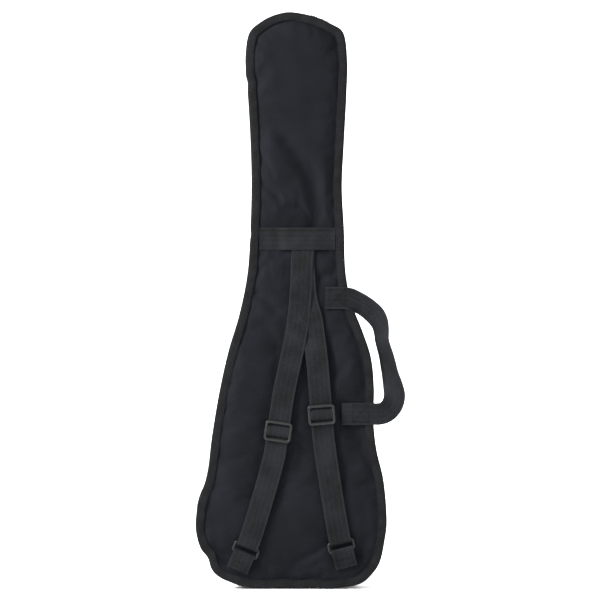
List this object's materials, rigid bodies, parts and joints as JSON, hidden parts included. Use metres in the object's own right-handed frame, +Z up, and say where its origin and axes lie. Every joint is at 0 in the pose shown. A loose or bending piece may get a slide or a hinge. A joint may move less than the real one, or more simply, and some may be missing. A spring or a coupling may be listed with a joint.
{
  "type": "padded gig bag",
  "caption": "Padded soft case for a small solid-body guitar, with zip-round front, shoulder straps with slide adjusters, edge carry handle and front pocket.",
  "frame": {"origin": "middle of the neck band on the back panel's outer face, where the shoulder straps hold the bag up", "axes": "+Z up along the bag towards its neck end, +Y from the back panel through to the front panel, +X to the right as seen from the strap side"},
  "size_m": [0.3652, 0.0922, 1.0034],
  "materials": {
    "panel_fabric": "plain woven black polyester, faint blue cast",
    "edge_tape": "ribbed woven edge tape, charcoal",
    "zip_tape": "knitted zip tape with nylon coil",
    "foam": "closed-cell foam sheet",
    "lining": "thin nylon lining",
    "webbing": "38 mm woven polypropylene webbing, charcoal",
    "moulded_plastic": "satin moulded black plastic",
    "slider_metal": "black enamelled zinc",
    "pull_wire": "bright plated wire"
  },
  "bodies": {
    "back": {"back_shell": "panel_fabric", "back_padding": "foam", "back_lining": "lining", "back_binding": "edge_tape", "back_side_wall": "panel_fabric", "back_zip_tape": "zip_tape", "bottom_side_wall": "panel_fabric", "foot_shell": "panel_fabric", "foot_padding": "foam", "foot_lining": "lining", "foot_binding": "edge_tape", "neck_band": "webbing", "left_strap": "webbing", "right_strap": "webbing", "left_tab": "webbing", "right_tab": "webbing", "upper_handle_anchor": "webbing", "lower_handle_anchor": "webbing"},
    "front": {"front_shell": "panel_fabric", "front_padding": "foam", "front_lining": "lining", "front_binding": "edge_tape", "front_side_wall": "panel_fabric", "front_zip_tape": "zip_tape", "pocket_panel": "panel_fabric", "pocket_header": "panel_fabric", "pocket_zip_lower": "zip_tape", "pocket_zip_upper": "zip_tape"},
    "left_zip_slider": {"left_zip_slider": "slider_metal"},
    "left_zip_pull": {"left_zip_pull": "pull_wire"},
    "right_zip_slider": {"right_zip_slider": "slider_metal"},
    "right_zip_pull": {"right_zip_pull": "pull_wire"},
    "pocket_slider": {"pocket_slider": "slider_metal"},
    "pocket_pull": {"pocket_pull": "pull_wire"},
    "left_adjuster": {"left_adjuster": "moulded_plastic", "left_strap_end": "webbing"},
    "right_adjuster": {"right_adjuster": "moulded_plastic", "right_strap_end": "webbing"},
    "left_ring": {"left_ring": "moulded_plastic"},
    "right_ring": {"right_ring": "moulded_plastic"},
    "carry_handle": {"carry_handle": "webbing"}
  },
  "joints": [
    {"name": "front_opening", "type": "hinge", "parent": "back", "child": "front", "pos_m": [0, 0.0612, -0.46], "axis": [-1, 0, 0], "range_deg": [0, 98]},
    {"name": "left_zip_run", "type": "hinge", "parent": "back", "child": "left_zip_slider", "pos_m": [0.001, 0.03, 0.288], "axis": [0, 1, 0], "range_deg": [-50, 0]},
    {"name": "left_zip_pull_swing", "type": "hinge", "parent": "left_zip_slider", "child": "left_zip_pull", "pos_m": [0.03114, 0.03, 0.3866], "axis": [0.9563, 0, -0.2924], "range_deg": [-75, 75]},
    {"name": "right_zip_run", "type": "hinge", "parent": "back", "child": "right_zip_slider", "pos_m": [0.001, 0.03, 0.288], "axis": [0, 1, 0], "range_deg": [0, 8]},
    {"name": "right_zip_pull_swing", "type": "hinge", "parent": "right_zip_slider", "child": "right_zip_pull", "pos_m": [0.0494, 0.03, 0.37903], "axis": [0.8829, 0, -0.4695], "range_deg": [-75, 75]},
    {"name": "pocket_zip_run", "type": "slide", "parent": "front", "child": "pocket_slider", "axis": [-1, 0, 0], "range_m": [0, 0.129]},
    {"name": "pocket_pull_swing", "type": "hinge", "parent": "pocket_slider", "child": "pocket_pull", "pos_m": [0.06922, 0.0719, -0.177], "axis": [1, 0, 0], "range_deg": [0, 165]},
    {"name": "left_adjuster_slide", "type": "slide", "parent": "back", "child": "left_adjuster", "axis": [0.1426, 0, 0.9898], "range_m": [-0.015, 0.055]},
    {"name": "right_adjuster_slide", "type": "slide", "parent": "back", "child": "right_adjuster", "axis": [-0.0804, 0, 0.9968], "range_m": [-0.015, 0.055]},
    {"name": "left_ring_swing", "type": "hinge", "parent": "back", "child": "left_ring", "pos_m": [-0.08959, -0.0054, -0.54536], "axis": [0.9205, 0, -0.3907], "range_deg": [-4, 4]},
    {"name": "right_ring_swing", "type": "hinge", "parent": "back", "child": "right_ring", "pos_m": [0.0805, -0.0054, -0.53876], "axis": [0.9703, 0, 0.2419], "range_deg": [-4, 4]},
    {"name": "carry_handle_swing", "type": "hinge", "parent": "back", "child": "carry_handle", "pos_m": [0.11936, -0.0022, -0.202], "axis": [-0.1974, 0, 0.9803], "range_deg": [-100, 50]}
  ]
}
